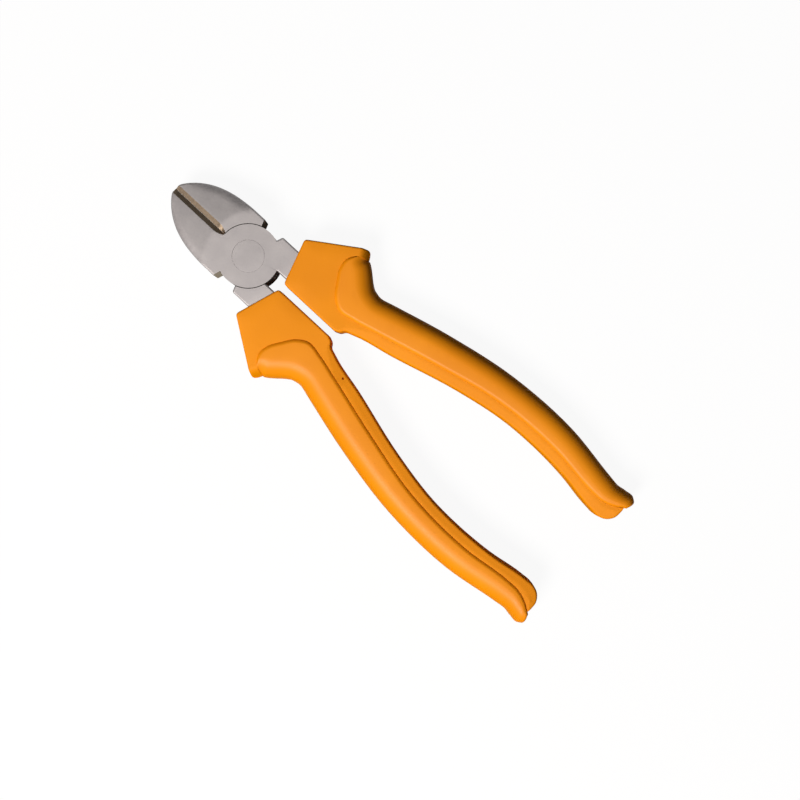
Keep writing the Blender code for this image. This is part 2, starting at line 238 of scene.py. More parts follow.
def edge_distance(point):
    """Distance from the outer edge of the grip, seen from above."""
    starts = outer_line[:-1]
    spans = outer_line[1:] - starts
    shares = np.clip(((point - starts) * spans).sum(axis=1) / (spans**2).sum(axis=1), 0, 1)
    return np.linalg.norm(starts + spans * shares[:, None] - point, axis=1).min()


print("outer edge from the middle of the collar:", edge_distance((22, 13)).round(1), "mm")

# %% Half a D across the pad
PAD_HALF = 7.2
STEP_WIDTH = 1.4
STEP_RISE = 0.85
STEP_SHARE = 0.25  # of a narrow row
NOSE_WIDTH = 6.2
NOSE_SHARE = 0.72  # of a narrow row
FRONT_END = 60  # x where the front part of the handle ends
PARTING_RIDGE = 0.06
CROWN = 0.1
STEP_POINTS = np.linspace(0, 1, 7)
FACE_POINTS = np.array([0.25, 0.5, 0.75])
NOSE_POINTS = np.sin(np.radians(np.linspace(0, 88, 14)))


def pad_section(row):
    """Half a D, from the parting line at the step over the face to the parting line on the nose."""
    inner, outer = row[:2], row[2:4]
    half = PAD_HALF * min(row[4], 1)
    width = np.linalg.norm(outer - inner)
    across = (outer - inner) / width
    step = min(STEP_WIDTH, width * STEP_SHARE)
    nose = min(NOSE_WIDTH, width * NOSE_SHARE)
    flat = width - nose - step
    at_front = inner[0] < FRONT_END
    round_over = NOSE_WIDTH if at_front else nose
    places = [*(step * STEP_POINTS), *(step + flat * FACE_POINTS), *(width - nose * (1 - NOSE_POINTS))]
    points = [(*inner, MID)]
    for place in places:
        face = half - STEP_RISE * max(1 - place / step, 0) ** 2
        face -= CROWN * max(1 - max(place - step, 0) / flat, 0) ** 2
        point = inner + across * place
        away = edge_distance(point) if at_front else width - place
        rolled = max(1 - away / round_over, 0)
        points.append((*point, MID + min(face, half * math.sqrt(1 - rolled**2))))
    points.append((*(outer + across * PARTING_RIDGE), MID))
    return points


print("points across the pad:", len(pad_section(pad_rows[0])))

# %% Pads, swept along their rows and mirrored
def pad_mesh():
    """The right pad, closed at both ends."""
    bm = bmesh.new()
    chain = [bm.verts.new(point) for point in pad_section(pad_rows[0])]
    first = list(chain)
    for row in pad_rows[1:]:
        chain = sweep(bm, chain, False, pad_section(row))
    for end in (first, chain):
        bm.faces.new(end)
    mirror_back(bm)
    return bm


right_pad = finished("right_pad", pad_mesh(), "front_side", "right_grip_pad")
left_bm = pad_mesh()
turn_over(left_bm)
left_pad = finished("left_pad", left_bm, "rear_side", "left_grip_pad")

# %% [markdown]
# ## Grip cores
# The core is the first shot: a collar round the root of the handle and a strip along its inside. Seen from
# above it is one flat outline, so the outline is drawn once and its rim is swept inwards and up in small
# steps, which rounds it. The Bevel tool would give the whole rim one width. Here the strip slopes over
# almost its full width, the collar has a short round, and the line at the pad stays sharp, so each point of
# the rim has its own round.

# %% Measured outline of the core
STRIP_EDGE = [
    (36.9, 1.2),
    (38.7, 2.1),
    (39.7, 3.4),
    (42.1, 4.4),
    (56.4, 8.0),
    (80.2, 14.4),
    (99.6, 17.7),
    (111.5, 18.1),
    (124.3, 17.4),
    (137.5, 15.5),
    (141.2, 15.4),
    (144.0, 16.6),
    (145.6, 18.9),
    (145.8, 21.6),
]
LIP_EDGE = [(29.5, 25.7), (29.1, 26.5), (28.5, 27.5), (27.9, 28.1), (25.6, 27.3)]
FRONT_OUTER = (9.8, 16.5)
FRONT_INNER = (14.75, 1.2)
print("measured points on the strip:", len(STRIP_EDGE))

# %% Lines round the core
CORNER = 1.0
CORNER_POINTS = 6


def rounded_corner(before, corner, after):
    """A few points round a corner, tangent to the straight edges on both sides."""
    corner = np.array(corner)
    arms = [np.array(point) - corner for point in (before, after)]
    start, end = [corner + arm / np.linalg.norm(arm) * CORNER for arm in arms]
    shares = np.linspace(0, 1, CORNER_POINTS)[:, None]
    return (1 - shares) ** 2 * start + 2 * shares * (1 - shares) * corner + shares**2 * end


def straight(start, end, count):
    """Points between two others, without these."""
    shares = np.linspace(0, 1, count + 2)[1:-1, None]
    return np.array(start) * (1 - shares) + np.array(end) * shares


strip_line = through(STRIP_EDGE, SPAN_STEPS)
pad_line = pad_rows[::-1, :2]
lip_line = through(LIP_EDGE, SPAN_STEPS)
outer_corner = rounded_corner(LIP_EDGE[-1], FRONT_OUTER, FRONT_INNER)
inner_corner = rounded_corner(FRONT_OUTER, FRONT_INNER, STRIP_EDGE[0])
collar_outer = straight(lip_line[-1], outer_corner[0], 10)
collar_front = straight(outer_corner[-1], inner_corner[0], 10)
collar_inner = straight(inner_corner[-1], strip_line[0], 12)
border = [collar_outer, outer_corner, collar_front, inner_corner]
lines = [collar_inner, strip_line, pad_line, lip_line, *border]
core_line = np.vstack(lines)
print("points on the outline of the core:", len(core_line))

# %% Round of the core's rim at each point
# width and height of each round
COLLAR_ROUND = (0.7, 0.7)
PAD_LINE_ROUND = (0.0, 0.0)
LIP_ROUND = (0.7, 0.9)
STRIP_ROUND = (1.1, 1.3)
LIP_GROWTH = 1.5  # mm along the lip until its round is full
COLLAR_CHANGE = (16, 8)  # x where the collar's round turns into the lip's, and over what length
STRIP_CHANGE = (38.5, 8)  # the same for the strip's round
STRIP_SHARE = 0.9


def blend(first, second, share):
    """A round between two others."""
    return [a + (b - a) * share for a, b in zip(first, second)]


rim_rounds = []
for line in lines:
    for point in line:
        rim_round = COLLAR_ROUND
        slope_width = 0
        if line is pad_line:
            rim_round = PAD_LINE_ROUND
        if line is lip_line:
            share = ramp(np.linalg.norm(point - lip_line[0]), 0, LIP_GROWTH)
            rim_round = blend(PAD_LINE_ROUND, LIP_ROUND, share)
        if line is collar_outer:
            rim_round = blend(COLLAR_ROUND, LIP_ROUND, ramp(point[0], *COLLAR_CHANGE))
        if line is strip_line:
            share = ramp(point[0], *STRIP_CHANGE)
            rim_round = blend(COLLAR_ROUND, STRIP_ROUND, share)
            width = np.linalg.norm(pad_line - point, axis=1).min()
            slope_width = max(STRIP_SHARE * width - rim_round[0], 0) * share
        rim_rounds.append((*rim_round, slope_width))
rim_rounds = np.array(rim_rounds)
print("widest slope on the strip:", rim_rounds[:, 2].max().round(2), "mm")

# %% Rim of the core, swept inwards from the parting line
COLLAR_HALF = 6.3
STRIP_SLOPE = math.tan(math.radians(14))
RIM_ANGLES = np.radians(np.linspace(0, 90, 7))
RIDGE_WIDTH = 0.15
SHORTEST_MITRE = 0.5


def inward(line):
    """Direction into the shape at each point, as long as a mitred corner needs."""
    before = line - np.roll(line, 1, axis=0)
    after = np.roll(line, -1, axis=0) - line
    normals = []
    for edge in (before, after):
        edge = edge / np.linalg.norm(edge, axis=1)[:, None]
        normals.append(np.column_stack([-edge[:, 1], edge[:, 0]]))
    middle = normals[0] + normals[1]
    middle /= np.linalg.norm(middle, axis=1)[:, None]
    reach = np.clip((middle * normals[0]).sum(axis=1), SHORTEST_MITRE, 1)
    return middle / reach[:, None]


def front_of_core():
    """The front half of the right core, with a flat face inside its rounded rim."""
    bm = bmesh.new()
    aim = inward(core_line)
    ridge = core_line - aim * PARTING_RIDGE
    first = [bm.verts.new((*point, MID)) for point in ridge]
    chain = sweep(bm, first, True, [(*point, MID + RIDGE_WIDTH) for point in core_line])
    widths, rises, slopes = rim_rounds.T
    for angle in RIM_ANGLES:
        line = core_line + aim * (widths * (1 - math.cos(angle)))[:, None]
        heights = MID + COLLAR_HALF - slopes * STRIP_SLOPE - rises * (1 - math.sin(angle))
        chain = sweep(bm, chain, True, [(*point, z) for point, z in zip(line, heights)])
    for share in (0.5, 1):
        line = core_line + aim * (widths + slopes * share)[:, None]
        heights = MID + COLLAR_HALF - slopes * STRIP_SLOPE * (1 - share)
        chain = sweep(bm, chain, True, [(*point, z) for point, z in zip(line, heights)])
    bm.faces.new(chain)
    bmesh.ops.remove_doubles(bm, verts=bm.verts, dist=MERGE_DISTANCE)
    return bm


right_bm = front_of_core()
print("front of the core:", len(right_bm.faces), "faces")

# %% [markdown]
# Plastic shrinks as it cools, so the collar is not truly flat: its border falls in a slack crown, and its
# lip rolls off towards the end. A flat face with no inner points can't bend. It could be filled with a grid
# and joined to the rim again, but cutting it where it lies keeps the rim whole, so planes are passed
# through it.

# %% Squares on the collar
COLLAR_MIDDLE = Vector((22, 13))
COLLAR_REACH = 17
COLLAR_SQUARE = 1.3
LIP_END = Vector((29.2, 27.4))
LIP_REACH = 8.0
LIP_SQUARE = 0.5


def cut_faces(bm, faces, place, normal):
    """Cuts the given faces, and no others, along a plane."""
    parts = dict.fromkeys(item for face in faces for item in (*face.verts, *face.edges))
    bmesh.ops.bisect_plane(bm, geom=[*faces, *parts], dist=0.0005, plane_co=place, plane_no=normal)


def cut_squares(bm, centre, reach, step):
    """Cuts the faces round a place into squares, so that they can be bent."""
    for shift in np.arange(-reach, reach, step):
        for normal in ((1, 0, 0), (0, 1, 0)):
            near = [f for f in bm.faces if min((v.co.xy - centre).length for v in f.verts) < reach]
            cut_faces(bm, near, (centre.x + shift, centre.y + shift, 0), normal)


def cut_collar(bm):
    """Cuts squares on the collar, and finer ones on its lip."""
    cut_squares(bm, COLLAR_MIDDLE, COLLAR_REACH, COLLAR_SQUARE)
    cut_squares(bm, LIP_END, LIP_REACH, LIP_SQUARE)


cut_collar(right_bm)
print("with squares on the collar:", len(right_bm.faces), "faces")

# %% Crown and lip of the collar
LIP_WIDTH = 3.4
LIP_DROOP = 4.4
LIP_ROOT = (19, 3)  # y where the lip starts to droop, and over what length
LIP_BACK = 31  # x behind which nothing droops
BORDER_WIDTH = 5.0
BORDER_DROP = 0.45
BORDER_FADE = (24, 10)  # x where the crown starts to fade into the strip, and over what length


def bend_collar(bm):
    """Lets the border of the collar fall in a slack crown, and rolls the lip off towards its end."""
    border_points = np.vstack([*border, collar_inner])
    tip, root = [Vector(point) for point in LIP_END_LINE]
    along = (tip - root).normalized()
    for vert in bm.verts:
        x, y, z = vert.co
        away = max(along.cross(vert.co.xy - root), 0)
        on_lip = ramp(y, *LIP_ROOT) * (x < LIP_BACK)
        drop = LIP_DROOP * max(1 - away / LIP_WIDTH, 0) ** 2 * on_lip
        inside = np.linalg.norm(border_points - vert.co.xy, axis=1).min()
        on_border = 1 - ramp(x, *BORDER_FADE)
        drop += BORDER_DROP * max(1 - inside / BORDER_WIDTH, 0) ** 2 * on_border
        vert.co.z -= drop * (z - MID) / COLLAR_HALF


bend_collar(right_bm)
lip_heights = [v.co.z for v in right_bm.verts if (v.co.xy - LIP_END).length < 1]
print("lip at its end: up to", round(max(lip_heights) - MID, 2), "mm over the parting line")

# %% Gate mark and both cores
# The dimple where the plastic entered the mould lies on the back of the right core and the front of the left.
GATE = Vector((49.8, 8.3))
GATE_RADIUS = 0.36
GATE_DEPTH = 1.2
GATE_SURROUND = 5
GATE_CUTS = np.radians((0, 45, 90, 135))
BACK_FACE = MID - 4  # the back of the strip lies lower than this


def mark_gate(bm):
    """Cuts an eight-sided spot out of the back of the strip and sinks it."""

    def faces_near():
        back = [f for f in bm.faces if f.calc_center_median().z < BACK_FACE]
        return [f for f in back if min((v.co.xy - GATE).length for v in f.verts) < GATE_SURROUND]

    for angle in GATE_CUTS:
        across = Vector((math.cos(angle), math.sin(angle), 0))
        for side in (-1, 1):
            cut_faces(bm, faces_near(), GATE.to_3d() + across * side * GATE_RADIUS, across)
    spot = [f for f in faces_near() if (f.calc_center_median().xy - GATE).length < GATE_RADIUS]
    grown = bmesh.ops.extrude_face_region(bm, geom=spot)["geom"]
    bmesh.ops.delete(bm, geom=spot, context="FACES")
    sunk = [item for item in grown if isinstance(item, bmesh.types.BMVert)]
    bmesh.ops.translate(bm, verts=sunk, vec=(0, 0, GATE_DEPTH))


mirror_back(right_bm)
mark_gate(right_bm)
right_core = finished("right_core", right_bm, "front_side", "right_grip_core")
left_bm = front_of_core()
for work in (cut_collar, bend_collar, mirror_back, mark_gate, turn_over):
    work(left_bm)
left_core = finished("left_core", left_bm, "rear_side", "left_grip_core")

# %% [markdown]
# ## Steel halves
# Each half is one forging with a jaw, half of the lapped joint and a tang that the grip hides. Seen from
# above it is three regions: the disc of the joint is only half as thick as the tool, the jaw and the tang
# are full thickness. So the regions are drawn flat in the plane where the halves meet, all three are
# extruded up, and the jaw and tang are extruded down as well. That leaves the pocket for the other half's
# disc without a Boolean.

# %% Outer edge of the jaw
JAW_LENGTH = 33.0
JAW_HALF_WIDTH = 12.4
JAW_WIDEST = 8.0
TIP_HALF_WIDTH = 1.8
TIP_PULL = (4.2, -6.2)  # from the tip to the first control point of the curve
WIDEST_PULL = (14.0, 0)  # from the second control point to the widest place
EDGE_SHARES = np.linspace(0, 1, 33)[:, None]


def jaw_edge():
    """The outer edge of the jaw, a cubic curve from the tip to the widest place."""
    tip = np.array((-JAW_LENGTH, -TIP_HALF_WIDTH))
    widest = np.array((-JAW_WIDEST, -JAW_HALF_WIDTH))
    first = tip + TIP_PULL
    second = widest - WIDEST_PULL
    t = EDGE_SHARES
    return (1 - t) ** 3 * tip + 3 * t * (1 - t) ** 2 * first + 3 * t * t * (1 - t) * second + t**3 * widest


outer_edge = jaw_edge()
print("points on the outer edge of the jaw:", len(outer_edge))

# %% Joint and neck, seen from above
LAP = MID + 0.06  # z of the lapped face, just clear of the other half's
DISC_RADIUS = 10.4
POCKET_RADIUS = 10.65
BORE_RADIUS = 4.15
BORE_SEGMENTS = 72
HEEL = 180 + 71.0  # degrees round the joint
SHOULDER = 71.5
NECK = (2.8, 12.15)  # y of its inner and outer edge
NECK_LENGTH = 16.5


def arc(radius, start, end, count):
    """Points on an arc round the rivet, with the given count of segments."""
    angles = np.radians(np.linspace(start, end, count + 1))
    return [(radius * math.cos(a), radius * math.sin(a)) for a in angles]


print("gap round the disc:", round(POCKET_RADIUS - DISC_RADIUS, 2), "mm")

# %% Blank of a half, extruded from the plane of the lap
def half_blank():
    """The blank of the front half, with its jaw on the -Y side and its disc at the front."""
    bm = bmesh.new()

    def point(place):
        return bm.verts.new((*place, LAP))

    neck_turn = [math.degrees(math.asin(NECK[0] / radius)) for radius in (POCKET_RADIUS, DISC_RADIUS)]
    tang_arc = [point(p) for p in arc(POCKET_RADIUS, neck_turn[0], SHOULDER, 14)]
    upper_arc = [point(p) for p in arc(DISC_RADIUS, SHOULDER, 180, 30)]
    jaw_arc = [point(p) for p in arc(POCKET_RADIUS, 180, HEEL, 20)]
    lower_arc = [point(p) for p in arc(DISC_RADIUS, HEEL, 360 + neck_turn[1], 34)]
    rim = tang_arc + upper_arc + jaw_arc + lower_arc
    bore = bmesh.ops.create_circle(bm, segments=BORE_SEGMENTS, radius=BORE_RADIUS)["verts"]
    bmesh.ops.translate(bm, verts=bore, vec=(0, 0, LAP))
    bore_edges = dict.fromkeys(edge for vert in bore for edge in vert.link_edges)
    bmesh.ops.bridge_loops(bm, edges=chain_edges(bm, rim, True) + list(bore_edges))
    heel_corner = (-JAW_HALF_WIDTH / math.tan(math.radians(HEEL)), -JAW_HALF_WIDTH)
    jaw = [point(p) for p in (*outer_edge, heel_corner)]
    jaw_face = bm.faces.new([*jaw, *reversed(jaw_arc), point((-JAW_LENGTH, 0))])
    shoulder_corner = (NECK[1] / math.tan(math.radians(SHOULDER)), NECK[1])
    neck = [point(p) for p in ((NECK_LENGTH, NECK[0]), (NECK_LENGTH, NECK[1]), shoulder_corner)]
    tang_face = bm.faces.new([*neck, *reversed(tang_arc)])
    for faces, rise in ((bm.faces[:], FRONT_FACE - LAP), ([jaw_face, tang_face], -LAP)):
        grown = bmesh.ops.extrude_face_region(bm, geom=faces)["geom"]
        raised = [item for item in grown if isinstance(item, bmesh.types.BMVert)]
        bmesh.ops.translate(bm, verts=raised, vec=(0, 0, rise))
    bmesh.ops.delete(bm, geom=[jaw_face, tang_face], context="FACES")
    bmesh.ops.recalc_face_normals(bm, faces=bm.faces)
    return bm


front_bm = half_blank()
print("blank:", len(front_bm.faces), "faces,", round(front_bm.calc_volume(), 1), "mm3")

# %% [markdown]
# ## Rounded edges and the walls of the joint
# Forgings are tumbled, so no outer edge is sharp, and a real edge shows as a thin light line. A Bevel modifier
# would round every edge, also those that have to fit in the joint. So the edges are picked here, and bevelled
# while the blank is still a plain prism, where the bevel is at its best. The walls inside the joint get their
# own finishes later, and are marked while they are easy to tell. The round ones are drawn dark, as painted
# shade for the gaps round the disc.

# %% Edges that tumbling rounds
RIM_ANGLE = math.radians(25)
NEAR = 0.001
BORE_SLACK = 0.1
ARC_SLACK = 0.3  # mm, within which an arc belongs to the disc or its pocket


def on_disc(points):
    """Whether all the points lie on the round wall of the disc or of its pocket."""
    return all(abs(p.xy.length - DISC_RADIUS) < ARC_SLACK for p in points)


def is_rim(edge):
    """Whether tumbling rounds the edge: not the cutting edge, the bore, the fitted arcs or the neck's end."""
    ends = [vert.co for vert in edge.verts]
    cutting_edge = all(abs(p.y) < NEAR and p.x < -DISC_RADIUS for p in ends)
    bore = all(p.xy.length < BORE_RADIUS + BORE_SLACK for p in ends)
    neck_end = all(p.x > NECK_LENGTH - NEAR for p in ends)
    heel = all(abs(math.degrees(math.atan2(p.y, p.x)) % 360 - HEEL) < 1 for p in ends)
    if cutting_edge or bore or neck_end or heel or on_disc(ends) or not edge.is_convex:
        return False
    return edge.calc_face_angle(0) > RIM_ANGLE


print("edges to round:", sum(is_rim(edge) for edge in front_bm.edges))

# %% Rounded rims and the countersink
RIM_RADIUS = 0.6
RIM_SEGMENTS = 4
COUNTERSINK = 5.36


def bevel_edges(bm, edges, width, segments):
    """Bevels edges to the given width, measured on the faces beside them."""
    bmesh.ops.bevel(
        bm,
        geom=edges,
        offset=width,
        offset_type="OFFSET",
        affect="EDGES",
        segments=segments,
        profile=0.5,
        material=-1,
        clamp_overlap=False,
    )


def round_rims(bm):
    """Rounds the outer edges, and countersinks the bore at the front."""
    bevel_edges(bm, [edge for edge in bm.edges if is_rim(edge)], RIM_RADIUS, RIM_SEGMENTS)
    inside = {v for v in bm.verts if v.co.xy.length < BORE_RADIUS + BORE_SLACK and v.co.z > LAP + 1}
    bore = [edge for edge in bm.edges if all(v in inside for v in edge.verts)]
    bevel_edges(bm, bore, COUNTERSINK - BORE_RADIUS, 1)
    for vert in bm.verts:
        if abs(vert.co.xy.length - COUNTERSINK) < 0.2 and vert.co.z > FRONT_FACE - 0.01:
            vert.co.xy = vert.co.xy.normalized() * COUNTERSINK


round_rims(front_bm)
print("with rounded rims:", len(front_bm.faces), "faces")

# %% Walls of the joint
# numbers of the finishes on a half
# The third finish is painted shade: it draws the round walls of the joint dark, as the shade in the gaps round
# the disc.
POLISHED, EDGE, SHADED_WALL, TRIMMED = range(4)
WALL_REACH = 13.2  # mm from the rivet, past which a wall belongs to the jaw or the handle
UPRIGHT = 0.3  # the normal of an upright wall rises less than this


def mark_walls(bm):
    """The round walls of the joint get a dark finish, painted shade for the gaps round the disc; the heel and
    neck are only trimmed.
    """
    for face in bm.faces:
        middle = face.calc_center_median()
        if abs(face.normal.z) < UPRIGHT and middle.xy.length < WALL_REACH and middle.x > -POCKET_RADIUS:
            # Round walls get the painted shade of the gaps, the heel and neck walls the trimmed finish.
            face.material_index = SHADED_WALL if on_disc([v.co for v in face.verts]) else TRIMMED


mark_walls(front_bm)
# Counts the faces that carry the painted shade of the joint's gaps.
print("walls with scale:", sum(face.material_index == SHADED_WALL for face in front_bm.faces), "faces")

# %% [markdown]
# ## The ground crown
# Both faces of the jaw are ground to a slack cone that falls from the joint to the tip and rolls off at the
# outer edge. Subdividing the jaw would smooth its outline away, so it is cut into a fine grid by planes
# instead, and the grid is pressed down by a formula for the depth of the grinding at each place.

# %% Grid on the jaw
GRID = 0.7  # mm between the cuts
GRID_INSET = 0.8  # first cut behind the tip and inside the outer edge
GRID_RESTART = 0.4  # first cut beside the disc
GRID_END = (-5, -2.2)  # x of the last cut across the jaw and y of the last cut along it
DISC_CLEARANCE = 0.05


def jaw_faces(bm):
    """The faces of the jaw outside the disc."""
    middles = [(face, face.calc_center_median()) for face in bm.faces]
    on_jaw = [(face, middle) for face, middle in middles if middle.y < 0.1 and middle.x < -3]
    return [face for face, middle in on_jaw if middle.xy.length > DISC_RADIUS + DISC_CLEARANCE]


def cut_grid(bm):
    """Cuts the jaw into a fine grid."""
    beyond = np.arange(-JAW_LENGTH + GRID_INSET, -DISC_RADIUS, GRID)
    beside = np.arange(-DISC_RADIUS + GRID_RESTART, GRID_END[0], GRID)
    along = np.arange(-JAW_HALF_WIDTH + GRID_INSET, GRID_END[1], GRID)
    for x in (*beyond, *beside):
        cut_faces(bm, jaw_faces(bm), (x, 0, 0), (1, 0, 0))
    for y in along:
        cut_faces(bm, jaw_faces(bm), (0, y, 0), (0, 1, 0))


cut_grid(front_bm)
print("with the grid:", len(front_bm.faces), "faces")

# %% Crown of the jaw
CROWN_RADIUS = 140.0
TIP_DROP = 2.4
SLOPE_START = 13.9
SLOPE_FILLET = 0.02
ROLL_WIDTH = 3.0
ROLL_SLOPE = math.tan(math.radians(30))
ROLL_FROM_EDGE = (4, 5)  # mm from the cutting edge where the roll-off begins, and over what length
ROLL_FROM_JOINT = (9, 5)  # the same from the rivet


def crown_drop(x, y):
    """How far the ground crown lies under the flat face of the joint at a place on the jaw."""
    slope = TIP_DROP / (JAW_LENGTH - SLOPE_START)
    radius = CROWN_RADIUS + (x + SLOPE_START) * slope
    drop = CROWN_RADIUS - math.sqrt(radius * radius - y * y)
    soft = (drop + math.hypot(drop, SLOPE_FILLET)) / 2
    away = np.linalg.norm(outer_edge - (x, -abs(y)), axis=1).min()
    roll = ROLL_SLOPE * max(ROLL_WIDTH - away, 0) ** 2 / (2 * ROLL_WIDTH)
    return soft + roll * ramp(abs(y), *ROLL_FROM_EDGE) * ramp(-x, *ROLL_FROM_JOINT)


def press_crown(bm):
    """Presses both faces of the jaw down to the crown."""
    for vert in bm.verts:
        x, y, z = vert.co
        if x < 0 and y < NEAR and vert.co.xy.length > DISC_RADIUS + 0.2:
            vert.co.z = MID + (z - MID) * (1 - crown_drop(x, y) / MID)


press_crown(front_bm)
print("thickness at the tip:", round(FRONT_FACE - 2 * crown_drop(-JAW_LENGTH, 0), 2), "mm")

# %% [markdown]
# ## Tang
# The tang goes on inside the grip, where nobody sees it, but a forging that stops at the collar would look
# wrong on its own. A second object could stand for it. One forging is one mesh, though, so the cut end of
# the neck is extruded along a few measured rows and thinned at the first of them.

# %% Tang along its rows
# x and y on the inner edge, then on the outer edge
TANG_ROWS = [
    (25.0, 3.8, 24.5, 12.3),
    (34.0, 5.0, 33.0, 12.7),
    (43.0, 6.9, 42.0, 14.0),
    (61.9, 11.8, 60.4, 18.0),
    (81.7, 17.0, 80.3, 22.6),
    (99.6, 19.9, 98.9, 25.1),
    (111.5, 20.3, 111.3, 25.1),
]
TANG_HALF = 2.9


def draw_tang(bm):
    """Draws the end of the neck out to the tang, row by row."""
    faces = [f for f in bm.faces if all(v.co.x > NECK_LENGTH - NEAR for v in f.verts)]
    for row in TANG_ROWS:
        grown = bmesh.ops.extrude_face_region(bm, geom=faces)["geom"]
        bmesh.ops.delete(bm, geom=faces, context="FACES")
        faces = [item for item in grown if isinstance(item, bmesh.types.BMFace)]
        verts = [item for item in grown if isinstance(item, bmesh.types.BMVert)]
        low = Vector(row[:2])
        high = Vector(row[2:])
        span = [f(v.co.y for v in verts) for f in (min, max)]
        deep = max(abs(v.co.z - MID) for v in verts)
        for vert in verts:
            share = (vert.co.y - span[0]) / (span[1] - span[0])
            height = (vert.co.z - MID) * TANG_HALF / deep
            vert.co = (*low.lerp(high, share), MID + height)


draw_tang(front_bm)
print("end of the tang at x =", round(max(v.co.x for v in front_bm.verts), 1), "mm")

# %% [markdown]
# ## Cutting edges and both halves
# A diagonal cutter is ground from the front: a wide bevel runs down to the edge there, and behind it the
# jaw is only relieved a little, so that it can cut close to a surface. The rows of points on the inner wall
# of the jaw are already there, so each is moved to its place across the bevel, which keeps the edge a
# straight line. The rear half is the same forging turned over, so only its bevel is ground on the other
# face.

# %% Bevel, relief and the slot at the root
EDGE_ROOT = 13.6
EDGE_GAP = 0.01
FRONT_BEVEL = 1.5
FRONT_BEVEL_DEPTH = 0.72
LAND = 0.15
LAND_SEGMENTS = 2
REAR_BEVEL = 0.5
SLOT = 0.45
SLOT_EASE = 1.5
MIDDLE_ROW = 0.2  # share of the half thickness, within which a point lies on the edge


def grind_edge(bm, side):
    """Moves the inner wall of the jaw to the bevel in front, the relief behind and the slot at the root."""
    inner = [v for v in bm.verts if abs(v.co.y) < NEAR and v.co.x < -POCKET_RADIUS + 0.01]
    on_wall = set(inner)
    walls = {f for v in inner for f in v.link_faces if all(w in on_wall for w in f.verts)}
    for vert in inner:
        x, _, z = vert.co
        to_slot = ramp(x, -EDGE_ROOT, EDGE_ROOT - POCKET_RADIUS)
        front = FRONT_BEVEL + (SLOT - FRONT_BEVEL) * to_slot**SLOT_EASE
        rear = REAR_BEVEL + (SLOT - REAR_BEVEL) * to_slot
        half = MID - crown_drop(x, 0)
        level = (z - MID) / half
        if abs(level) < MIDDLE_ROW:
            vert.co.z = MID + half - FRONT_BEVEL_DEPTH
            level = 0
        vert.co.y = side * (EDGE_GAP + ((front if level > 0 else rear) - EDGE_GAP) * abs(level))
    for wall in walls:
        wall.material_index = EDGE
    lands = [e for e in bm.edges if {f.material_index for f in e.link_faces} == {POLISHED, EDGE}]
    lands = [e for e in lands if e.verts[0].co.z > MID and all(v in on_wall for v in e.verts)]
    bevel_edges(bm, lands, LAND, LAND_SEGMENTS)


grind_edge(front_bm, -1)
print("ground faces:", sum(face.material_index == EDGE for face in front_bm.faces))

# %% Both halves
rear_bm = half_blank()
for work in (round_rims, mark_walls, cut_grid, press_crown, draw_tang, turn_over):
    work(rear_bm)
grind_edge(rear_bm, 1)
front_steel = finished("front_steel", front_bm, "front_side", "front_half")
rear_steel = finished("rear_steel", rear_bm, "rear_side", "rear_half")

# %% [markdown]
# ## Rivet
# The rivet is pressed flush into a countersink on both faces and ground off with them, so only a fine ring
# shows. A cylinder with bevelled ends would come near it, but its two heads are wider than its shank. It is
# a turned part, so half of its section is spun round the axis, as on a lathe.

# %% Rivet, spun from its section
RIVET_HEAD = 5.32
RIVET_SHANK = 4.0
HEAD_DEPTH = 1.42
# radius, and height over the face of the joint
HEAD_SECTION = [(0, 0.0), (3.0, 0.0), (RIVET_HEAD - 0.2, 0.0), (RIVET_HEAD - 0.05, -0.02), (RIVET_HEAD, -0.08)]
RIVET_STEPS = 72


def rivet_mesh():
    """The rivet, with the same head at both ends."""
    bm = bmesh.new()
    upper = [(r, FRONT_FACE + z) for r, z in HEAD_SECTION] + [(RIVET_SHANK, FRONT_FACE - HEAD_DEPTH)]
    section = upper + [(r, FRONT_FACE - z) for r, z in reversed(upper)]
    chain = [bm.verts.new((r, 0, z)) for r, z in section]
    outline = chain + chain_edges(bm, chain, False)
    full_turn = {"angle": math.tau, "steps": RIVET_STEPS, "use_merge": True}
    bmesh.ops.spin(bm, geom=outline, axis=(0, 0, 1), cent=(0, 0, 0), **full_turn)
    return bm


rivet = finished("rivet_flush", rivet_mesh(), "front_side", "rivet")

# %% [markdown]
# ## Finishes
# Materials are built from a few nodes each. One helper adds a node, sets it and links it, and another turns
# the colours, which are written as they look on a screen, to the linear values that the shader works with.

# %% Helpers for finishes
def colour(hex_code):
    """Linear colour from an sRGB hex code."""
    parts = [int(hex_code[i : i + 2], 16) / 255 for i in (0, 2, 4)]
    linear = [p / 12.92 if p <= 0.04045 else ((p + 0.055) / 1.055) ** 2.4 for p in parts]
    return (*linear, 1.0)


def set_inputs(tree, node, inputs):
    """Sets a node's inputs to values, or links them from the outputs of other nodes."""
    for name, value in inputs.items():
        if isinstance(value, bpy.types.NodeSocket):
            tree.links.new(value, node.inputs[name])
        else:
            node.inputs[name].default_value = value


def add(tree, kind, inputs=None, **settings):
    """Adds a node with its settings, values and links."""
    node = tree.nodes.new("ShaderNode" + kind)
    for name, value in settings.items():
        setattr(node, name, value)
    set_inputs(tree, node, inputs or {})
    return node


def new_finish(name):
    """An empty finish: its material, its node tree, its shader and the place on the piece in metres."""
    material = bpy.data.materials.new(name)
    material.use_nodes = True
    tree = material.node_tree
    return material, tree, tree.nodes["Principled BSDF"], add(tree, "TexCoord").outputs["Object"]


print("middle grey in linear light:", round(colour("808080")[0], 3))

# %% [markdown]
# ### Steel
# The halves are tool steel, forged, ground and tumbled with fine stone until the marks of grinding are
# gone. What the eye gets is a dull silver: a broad sheen that rolls off softly where the jaw curves, and a
# faint mottle. An image of steel would tie the grain to one camera. Two noises, sized in millimetres, do
# the same from every side.

